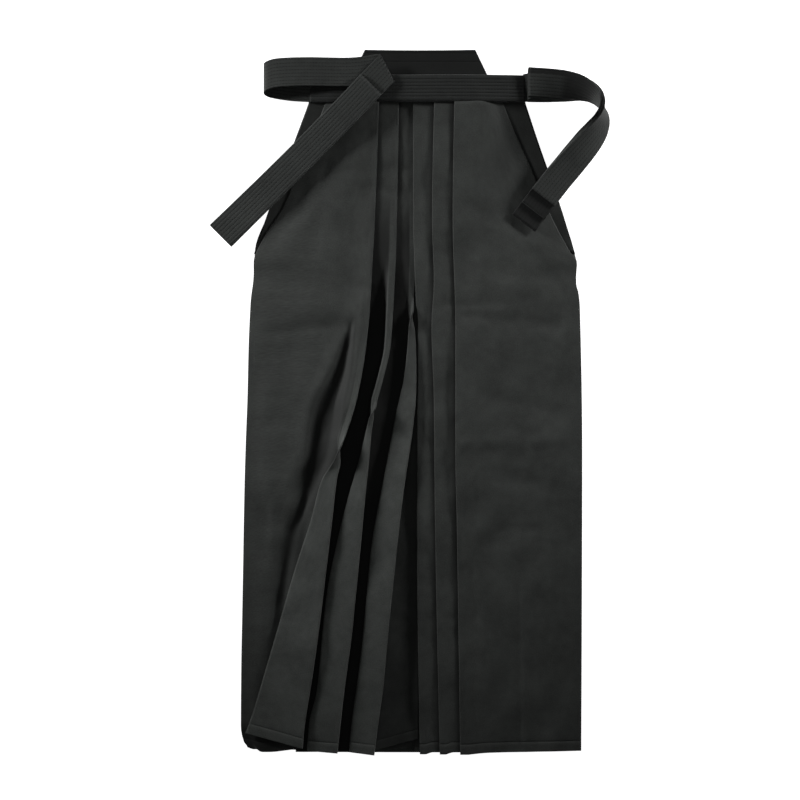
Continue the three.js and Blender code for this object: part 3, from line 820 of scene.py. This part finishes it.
def front_cloth(name, panel, pleats, hem, end, side, paint):
    """One front leg as a single folded sheet.

    side is 1 for the left front and -1 for the right one, which is the mirror of its tables.
    """
    stretches = SIDE_STRETCHES + PLEAT_STRETCHES * len(pleats) + [12]
    bends = SIDE_BENDS + PLEAT_BENDS * len(pleats) + [0]
    stops = [(0, 0.0)]
    for stretch, count in enumerate(stretches):
        stops += [(stretch, (1 - math.cos(math.pi * k / count)) / 2) for k in range(1, count + 1)]
    widest = front_section(panel, pleats, hem, end, 880)
    across = [0.0]
    for before, after in zip(widest, widest[1:]):
        across.append(across[-1] + (after - before).length)
    sections = [front_section(panel, pleats, hem, end, drop) for drop in ROWS]
    columns = len(stops)

    def where(column, row):
        stretch, t = stops[column if side > 0 else columns - 1 - column]
        point = bent(sections[row], bends, stretch, t)
        x = point.x * side
        share = smoothstep(abs(point.x - sections[row][0].x), 0, 40)
        calm = smoothstep(ROWS[row], 0, 60)
        lift = (0.6 + rumple(x, point.y)) * share * calm
        if ROWS[row] < 0:
            lift -= TUCK
        if side > 0 and stretch <= 3:
            lift -= hollow(x, point.y)[0]
        if ROWS[row] > HEM_LINE - HEM_DEPTH:  # two layers below the stitches, pulled in at them
            lift += 0.3 * smoothstep(ROWS[row], HEM_LINE + 1, HEM_LINE + 3)
            lift -= 0.35 * max(0, 1 - abs(ROWS[row] - HEM_LINE) / 1.6)
        flat = across[stretch] + t * (across[stretch + 1] - across[stretch])
        return place(x, point.y, point.z + lift), (side * flat * MM, ROWS[row] * MM)

    # Painted shade for the corners inside a pleat, and the stretches that show the back of the
    # cloth, which get painted light on the flaps and painted shade where they turn over.
    pleat_shade = [0.0] * len(SIDE_BENDS)
    for i in range(len(pleats)):
        depth = 0.4 if i + 1 == len(pleats) else 1.0
        pleat_shade += [1.0 if i else 0.0, 0, 0, 0, 0, 0, depth, depth, depth]
    pleat_shade.append(0.4)
    painted_flaps = [len(SIDE_STRETCHES) + 9 * i + k for i in range(len(pleats)) for k in (3, 4, 5)]

    # Painted light and shade on the front's cloth: darker in the hollow, under the flap at the hem,
    # inside the pleats, at each turn and beside each pressed edge; lighter on the turned-over
    # flaps.
    def inner(column, row):
        stretch, t = stops[column if side > 0 else columns - 1 - column]
        x = bent(sections[row], bends, stretch, t).x
        drop = ROWS[row]
        # painted shade in the hollow and under the turned flap at the hem
        if side > 0 and stretch <= 3:
            under_flap = smoothstep(drop, 872, 884) * (1 - smoothstep(x, -160, -150))
            return max(UNDER_FLAP_SHADE * under_flap, HOLLOW_SHADE * hollow(x, drop)[1])
        # painted light on the turned flaps, and painted shade where each turns over
        if side > 0 and stretch in painted_flaps:
            turn = TURNS[(stretch - len(SIDE_STRETCHES)) // 9]
            turning = math.exp(-(((drop - turn) / TURN_REACH) ** 2))
            return lerp(-FLAP_PAINTED_LIGHT * smoothstep(drop, 300, 470), TURN_SHADE, turning)
        share = 0.0
        if side > 0:
            here, there = pleat_shade[stretch : stretch + 2]
            change = smoothstep(t, 0, 0.4) if there > here else smoothstep(t, 0.6, 1)
            share = lerp(here, there, change)
            share *= smoothstep(drop, 105, 200)
        # painted shadow in a dark line beside each pressed edge
        before = (stretch - len(SIDE_STRETCHES) + 1) // 9 - 1
        if (stretch - len(SIDE_STRETCHES)) % 9 in (8, 0, 1) and 0 <= before < len(pleats):
            beyond = x - read(pleats[before], "edgeX", drop)
            if beyond > -2:
                shadow = math.exp(-((max(0, beyond) / EDGE_REACH) ** 2))
                share = max(share, EDGE_SHADE * shadow)
        return share

    return sheet_mesh(name, columns, len(ROWS), where, paint, CLOTH, inner=inner)


front_left = front_cloth(
    "front_left_cloth", LEFT_PANEL, LEFT_PLEATS, LEFT_HEM, LEFT_END, 1, skirt_cloth
)
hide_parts("front_left")
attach(front_left, "root")

# ---------------------------------------------------------------- right front
# The wearer's left leg front, cut and pleated the same way, with its three pleats lying closed.
# Its tables are those of a left front and are mirrored when it is made.
RIGHT_PANEL = table("drop sideX sideZ swellX swellZ", [
    (0, -124, 5.9, -104, 11.5),
    (40, -140, 4.8, -112, 11),
    (100, -167, 4.0, -124, 10.5),
    (152, -188.8, 3.8, -134, 10.2),
    (209, -218.5, 3.6, -142, 10),
    (224, -228.5, 3.5, -145, 10),
    (240, -227.6, 2.0, -146, 10),
    (254, -227.4, 2.0, -148, 10),
    (266, -230.5, 2.0, -150, 10),
    (285, -232.5, 2.0, -150, 10),
    (490, -235.9, 2.0, -150, 9.6),
    (700, -235.4, 2.0, -150, 8.6),
    (910, -234.5, 2.0, -150, 7.2),
])
RIGHT_PLEATS = [
    table(PLEAT, [
        (0, -92, 14.6, -64, 14.1, -56.7, 14.1, -78, 13.45),
        (164, -90, 14.6, -62, 14.1, -54.3, 14.1, -76, 13.45),
        (314, -93, 14.6, -65, 14.1, -58.1, 14.1, -79, 13.45),
        (400, -93, 14.8, -65, 16.4, -58.1, 16.6, -79, 13.45),
        (490, -93, 14.8, -65, 16.4, -58.1, 16.6, -79, 13.45),
        (600, -95, 14.6, -67, 14.8, -60.2, 14.8, -81, 13.45),
        (910, -100, 12.6, -72, 12.1, -64.9, 12.1, -86, 11.45),
    ]),
    table(PLEAT, [
        (0, -46, 12.15, -35, 11.5, -28.6, 11.5, -43, 10.85),
        (164, -43, 12.15, -32, 11.5, -25.5, 11.5, -40, 10.85),
        (251, -45, 12.15, -34, 11.5, -28, 11.5, -42, 10.85),
        (314, -42, 12.15, -31, 11.5, -24.8, 11.5, -39, 10.85),
        (416, -45, 12.15, -34, 11.5, -28, 11.5, -42, 10.85),
        (557, -46, 12.15, -35, 11.5, -29.3, 11.5, -43, 10.85),
        (910, -53, 10.15, -42, 9.5, -36.4, 9.5, -50, 8.85),
    ]),
    table(PLEAT, [
        (0, -16, 9.55, -5, 8.9, 0.9, 8.9, -14, 8.25),
        (164, -16, 9.55, -5, 8.9, 0.9, 8.9, -14, 8.25),
        (215, -17, 9.55, -6, 8.9, -0.5, 8.9, -15, 8.25),
        (277, -19, 9.55, -8, 8.9, -2.9, 8.9, -17, 8.25),
        (314, -22, 9.55, -11, 8.9, -5.4, 8.9, -20, 8.25),
        (390, -22, 9.55, -11, 8.9, -5.4, 8.9, -20, 8.25),
        (440, -21, 9.55, -10, 8.9, -4.2, 8.9, -19, 8.25),
        (557, -21, 9.55, -10, 8.9, -4.2, 8.9, -19, 8.25),
        (910, -25, 7.55, -14, 6.9, -8.5, 6.9, -23, 6.25),
    ]),
]
RIGHT_HEM = {"side": 1, "panel": 0, "edges": (-3, -3, -3), "ridges": (-3, -3, -3), "centre": 0}
RIGHT_END = (-9, 4.6)
front_right = front_cloth(
    "front_right_cloth", RIGHT_PANEL, RIGHT_PLEATS, RIGHT_HEM, RIGHT_END, -1, skirt_cloth
)
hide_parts("front_right")
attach(front_right, "root")

# ---------------------------------------------------------------- slit folds
# The leaf-shaped turn of cloth beside each front edge, from the band down to the foot of the
# slit, where it is tacked under the leg's side edge.
SIDE_FOLDS = {
    "side_fold_left": table("drop insideX outsideX z", [
        (0.3, -119, -147.5, 4.4),
        (56, -140, -168.5, 2.9),
        (154, -182, -205, 2.3),
        (SLIT_FOOT, -215, -224.5, 2.1),
    ]),
    "side_fold_right": table("drop insideX outsideX z", [
        (0.3, 119, 156, 4.4),
        (56, 142, 174.5, 2.9),
        (139, 177, 203.5, 2.3),
        (SLIT_FOOT, 212, 226, 2.1),
    ]),
}
FOLD_SHADE = 0.55
FOLD_COLUMNS = 13
FOLD_ROWS = 44


# An even painted shade darkens the slit folds.
def painted_fold_shade(column, row):
    return FOLD_SHADE


for name, rows in SIDE_FOLDS.items():

    def fold_place(column, row):
        drop = SLIT_FOOT - (SLIT_FOOT + UNDER_BAND) * row / (FOLD_ROWS - 1)
        ends = sorted((read(rows, "insideX", drop), read(rows, "outsideX", drop)))
        x = lerp(*ends, column / (FOLD_COLUMNS - 1))
        return place(x, drop, read(rows, "z", drop)), (x * MM, drop * MM)

    side_fold = sheet_mesh(
        name + "_cloth", FOLD_COLUMNS, FOLD_ROWS, fold_place, skirt_cloth, 1.0, inner=painted_fold_shade
    )
    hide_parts(name)
    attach(side_fold, "root")
    "back_left_cloth" if "left" in name else "back_right_cloth"

# ---------------------------------------------------------------- front band
# The waistband that gathers the tops of the pleats: a stiff folded strip quilted with eight rows
# of stitches. It is fullest in the middle, over the most layers.
BAND_DEPTH = 38.0
BAND_RIGHT = 155.6
BAND_LOW = 3.8
# The height of its face along it: its places are read across the garment.
BAND_TOP = table("drop z", [
    (BAND_LEFT, 8.2), (-104, 12), (-50, 13.9), (0, 14.6), (56, 16.4), (104, 14), (BAND_RIGHT, 8.2),
])
BAND_GROOVE = 0.26
BAND_FACE = 0.62  # the face's share of the way round the folded strip
BAND_EDGE = 0.15  # each thin edge's share of the rest
BAND_SHOULDER = 1.9  # how far the face's edges drop before the strip turns
BAND_COLUMNS = 151
BAND_ROUND = 72


def groove(distance):
    """The dent of one row of quilting at a distance from it, from 0 to 1."""
    return math.exp(-((distance / 0.75) ** 2))


def quilt(across):
    """How deep the rows of quilting lie at a distance across a tie or band."""
    nearest = round(across / ROW_PITCH - 0.5) + 0.5
    return groove(across - nearest * ROW_PITCH)


bm = bmesh.new()
bmesh.ops.create_grid(bm, x_segments=BAND_COLUMNS - 1, y_segments=BAND_ROUND, size=1.0)
uv = bm.loops.layers.uv.new("cloth")
flat = {}
for vert in bm.verts:
    x = lerp(BAND_LEFT, BAND_RIGHT, (vert.co.x + 1) / 2)
    turn = (vert.co.y + 1) / 2
    top = read(BAND_TOP, "z", x)
    shoulder = top - BAND_SHOULDER
    if turn < BAND_FACE:  # from its lower edge to its upper one
        share = turn / BAND_FACE
        drop = BAND_FOOT - (BAND_DEPTH + BAND_FOOT) * share
        rounding = max(0, 1 - min(share, 1 - share) / 0.05)
        z = top - 1.6 * rounding**2 - BAND_GROOVE * quilt(drop) - 0.3
        z += 0.25 * noise.noise(Vector((x / 16, drop / 14, 5.5)))
    else:
        share = (turn - BAND_FACE) / (1 - BAND_FACE)
        if share < BAND_EDGE:
            drop, z = -BAND_DEPTH, lerp(shoulder, BAND_LOW, share / BAND_EDGE)
        elif share > 1 - BAND_EDGE:
            drop, z = BAND_FOOT, lerp(BAND_LOW, shoulder, (share - 1 + BAND_EDGE) / BAND_EDGE)
        else:
            under = (share - BAND_EDGE) / (1 - 2 * BAND_EDGE)
            drop, z = lerp(-BAND_DEPTH, BAND_FOOT, under), BAND_LOW
    drop = min(max(drop, -BAND_DEPTH), BAND_FOOT)
    vert.co = place(x, drop, z)
    # All but the face keeps to a plain strip between two rows of quilting.
    flat[vert] = (x * MM, (drop if turn < BAND_FACE else -BAND_DEPTH + ROW_PITCH / 2) * MM)
unfold(bm, uv, flat)
bmesh.ops.remove_doubles(bm, verts=bm.verts, dist=1e-6)
bmesh.ops.holes_fill(bm, edges=[edge for edge in bm.edges if edge.is_boundary], sides=0)
bmesh.ops.recalc_face_normals(bm, faces=bm.faces)
front_band = sewn(bm, "front_band_cloth", band_cloth)
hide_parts("front_band")
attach(front_band, "root")

# ---------------------------------------------------------------- left tie
# A flat quilted tie as wide as the band. It leaves the band's left end, rolls back over itself,
# runs along the band to a slanting fold, and goes down in four layers folded to and fro.
TIE_BLACK = (0.034, 0.037, 0.035)
tie_cloth = weave("tie_cloth", TIE_BLACK, 0.74, 0.06, quilting, dark=0.62, light=0.12)
TIE_HALF = 20.0
TIE_THICK = 1.1
TIE_LAYER = 1.8
TIE_GROOVE = 0.13
TIE_HEMS = 1.4  # the plain strip along each edge, which slopes off
TIE_SLOPE = 0.12
TIE_ACROSS = 41


def stance(x, drop, z, heading=0.0, pitch=0.0, tilt=0.0, half=TIE_HALF):
    """How a tie lies at one station: its middle, its width's direction and its face's."""
    turn, climb, roll = (math.radians(angle) for angle in (heading, pitch, tilt))
    level = Vector((math.cos(turn), math.sin(turn), 0))
    along = level * math.cos(climb) + Vector((0, 0, math.sin(climb)))
    flat = Vector((-math.sin(turn), math.cos(turn), 0))
    up = along.cross(flat)
    return {
        "middle": Vector((x, -drop, z)),
        "wide": flat * math.cos(roll) + up * math.sin(roll),
        "face": up * math.cos(roll) - flat * math.sin(roll),
        "half": half,
    }


def moved(station, way, distance):
    return {**station, "middle": station["middle"] + way * distance}


def flowing(stations, count):
    """More stations on a smooth way through these, evenly spaced along it."""

    def curve(a, b, c, d, t):
        return 0.5 * (2 * b + (c - a) * t + (2 * a - 5 * b + 4 * c - d) * t**2
                      + (3 * b - a - 3 * c + d) * t**3)

    dense = []
    last = len(stations) - 1
    for i in range(last):
        four = [stations[max(0, i - 1)], stations[i], stations[i + 1], stations[min(last, i + 2)]]
        for k in range(12):
            t = k / 12
            middle = curve(*(s["middle"] for s in four), t)
            wide = curve(*(s["wide"] for s in four), t).normalized()
            face = curve(*(s["face"] for s in four), t)
            face = (face - wide * face.dot(wide)).normalized()
            half = lerp(four[1]["half"], four[2]["half"], t)
            dense.append({"middle": middle, "wide": wide, "face": face, "half": half})
    dense.append(stations[-1])
    lengths = [0.0]
    for before, after in zip(dense, dense[1:]):
        lengths.append(lengths[-1] + (after["middle"] - before["middle"]).length)
    picked = []
    for k in range(count):
        goal = lengths[-1] * k / (count - 1)
        i = min(bisect.bisect_right(lengths, goal), len(lengths) - 1) - 1
        t = (goal - lengths[i]) / max(1e-9, lengths[i + 1] - lengths[i])
        a, b = dense[i], dense[i + 1]
        picked.append({
            "middle": a["middle"].lerp(b["middle"], t),
            "wide": a["wide"].lerp(b["wide"], t).normalized(),
            "face": a["face"].lerp(b["face"], t).normalized(),
            "half": lerp(a["half"], b["half"], t),
        })
    return picked


def folded_over(end, onward, rise):
    """Stations round a fold: the tie turns over towards its face, by half a turn."""
    stations = []
    middle = end["middle"] + end["face"] * (rise / 2)
    for k in range(1, 6):
        angle = math.pi * k / 6
        reach = onward * math.sin(angle) - end["face"] * math.copysign(math.cos(angle), rise)
        face = end["face"] * math.cos(angle) - onward * math.copysign(math.sin(angle), rise)
        at = {"middle": middle + reach * abs(rise / 2), "face": face, "layer": 0, "share": 0.0}
        stations.append({**end, **at})
    return stations


def accordion(route, layers, rise, further, count, fan=()):
    """A tie folded to and fro along one route, as stations.

    fan gives how far each next layer slips sideways, at even steps along the route.
    """
    stations = []
    for layer in range(layers):
        outward = layer % 2 == 0
        last = route[-1]
        reach = layer // 2 * further
        whole = list(route)
        if reach:
            whole.append(moved(last, last["wide"].cross(last["face"]), reach))
        laid = [moved(s, s["face"], layer * rise) for s in flowing(whole, count)]
        if fan:
            steps = [(k / (len(fan) - 1) * (count - 1), slip) for k, slip in enumerate(fan)]
            slips = table("drop slip", steps)
            laid = [moved(s, s["wide"], layer * read(slips, "slip", k)) for k, s in enumerate(laid)]
        laid = [{**s, "layer": layer, "share": k / (count - 1)} for k, s in enumerate(laid)]
        if not outward:
            laid = [{**s, "face": -s["face"]} for s in reversed(laid)]
        stations += laid
        if layer + 1 < layers:
            end = laid[-1]
            travel = end["wide"].cross(end["face"])
            stations += folded_over(end, travel, rise if outward else -rise)
    return stations


def tie_mesh(name, stations, paint, inner=None):
    """A quilted tie through its stations. The last argument takes a distance across and a station,
    and gives the painted shade there.
    """
    lengths = [0.0]
    for before, after in zip(stations, stations[1:]):
        lengths.append(lengths[-1] + (after["middle"] - before["middle"]).length)

    def where(column, row):
        station = stations[row]
        across = column / (TIE_ACROSS - 1) * 2 - 1
        distance = across * TIE_HALF
        dent = TIE_GROOVE * quilt(distance) if abs(distance) < TIE_HALF - 1 else 0.0
        edge = max(0, abs(distance) - TIE_HALF + TIE_HEMS) * TIE_SLOPE
        point = station["middle"] + station["wide"] * (-across * station["half"])
        point = point - station["face"] * (dent + edge)
        return place(point.x, -point.y, point.z), (lengths[row] * MM, distance * MM)

    # painted shade at each vertex
    def depth(column, row):
        across = (column / (TIE_ACROSS - 1) * 2 - 1) * TIE_HALF
        return inner(across, stations[row]) if inner else 0.0

    return sheet_mesh(name, TIE_ACROSS, len(stations), where, paint, TIE_THICK, inner=depth)


# Each station's place and height, then its heading and, in degrees, how it is pitched and tilted.
LOOP_STATIONS = [
    (-142.5, -19.2, 6.0, 180, 0, 0, 19),
    (-172, -22, 4.2, 180, 0),
    (-198, -26, 3.2, 180, 0),
    (-207, -29, 5.0, 180, 45),
    (-210, -32.5, 9.4, 180, 90),
    (-206, -36.5, 13.6, 180, 140),
    (-190, -40.5, 15.6, 180, 175),
    (-150, -42, 15.7, 180, 180),
    (-92, -41.3, 15.7, 180, 180),
    (-62, -44.3, 15.7, 180, 180),
    (-38.6, -47, 15.7, 207.4, 180, 0, 21.3),
]
STRAP_START = (-37.4, -47, 17.5, 27.4, 180, 0, 21.3)
STRAP_STATIONS = [
    (-60.2, -23.1, 18.3, 45, 180),
    (-83.4, 1.9, 18.2, 45, 180),
    (-118, 37, 15.6, 45, 180),
    (-188, 107, 9.6, 45, 180),
    (-269.4, 187.6, 4.8, 45, 180),
]
loop = flowing([stance(*row) for row in LOOP_STATIONS], 110)
strap_start = stance(*STRAP_START)
slant = loop[-1]
slant_round = folded_over(slant, slant["wide"].cross(slant["face"]), -1.8)
strap_route = [stance(*row) for row in STRAP_STATIONS]
strap = accordion(strap_route, 4, -TIE_LAYER, 0, 70, fan=(0, 0, 0.3, 0.9))
onto_strap = flowing([strap_start, strap[0]], 8)[:-1]
tie_left = tie_mesh("tie_left_cloth", loop + slant_round + onto_strap + strap, tie_cloth)
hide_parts("tie_left_loop", "tie_left_strap")
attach(tie_left, "root")

# ---------------------------------------------------------------- right tie
# The same tie at the other end of the band, folded into a bundle of five layers. It stands up on
# its edge as it bends round, and comes down with its other face up.
RIGHT_START = (152.5, -20.2, 6.4, 0, 0, 2, 19)
RIGHT_STATIONS = [
    (160, -20.4, 7, 0, 0, 4),
    (184, -19.9, 8.5, -2, 0, 10),
    (212, -19.4, 11.5, -6, 0, 24),
    (235.5, -16.5, 17, -18, 0, 44),
    (253.5, -9, 21.5, -40, 0, 68),
    (264, 4, 22.5, -66, 0, 90),
    (265.8, 20.5, 22.5, -88, 0, 112),
    (258.3, 39.3, 22, -110, 0, 132),
    (243.5, 59, 21, -126, 0, 150),
    (222.4, 83.5, 20.5, -130, 0, 164),
    (200.8, 108.7, 20.5, -128, 0, 172),
    (181.1, 133.4, 21, -127, 0, 176),
]
right_route = [stance(*row) for row in RIGHT_STATIONS]
right_bundle = accordion(right_route, 5, TIE_LAYER, 23.0, 84, fan=(2.0, 1.6, 0.8, 0.2, 0, 0))
right_start = flowing([stance(*RIGHT_START), right_bundle[0]], 4)[:-1]


def bundle_painted_shade(across, station):
    """Painted shade on the faces between the layers, in the bend's hollow and past each turned end,
    and over the bend's outer face.
    """
    share, layer = station.get("share", 0.0), station.get("layer", 0)
    # painted shade on the lower layers, past each turned end
    if layer >= 2 and share > 0.80:
        return 0.9
    hollow_bend = smoothstep(share, 0.13, 0.17) - smoothstep(share, 0.27, 0.34)
    rim = smoothstep(-across, 11, 14) * (1 - smoothstep(share, 0.24, 0.34))
    # painted shade over the bend's outer face, damping its highlight
    outer_bend = 0.72 * (smoothstep(share, 0.28, 0.36) - smoothstep(share, 0.50, 0.62))
    return max(outer_bend, 0.85 * hollow_bend, 0.85 * rim) if layer == 4 else outer_bend


tie_right = tie_mesh("tie_right_cloth", right_start + right_bundle, tie_cloth, bundle_painted_shade)
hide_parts("tie_right")
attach(tie_right, "root")
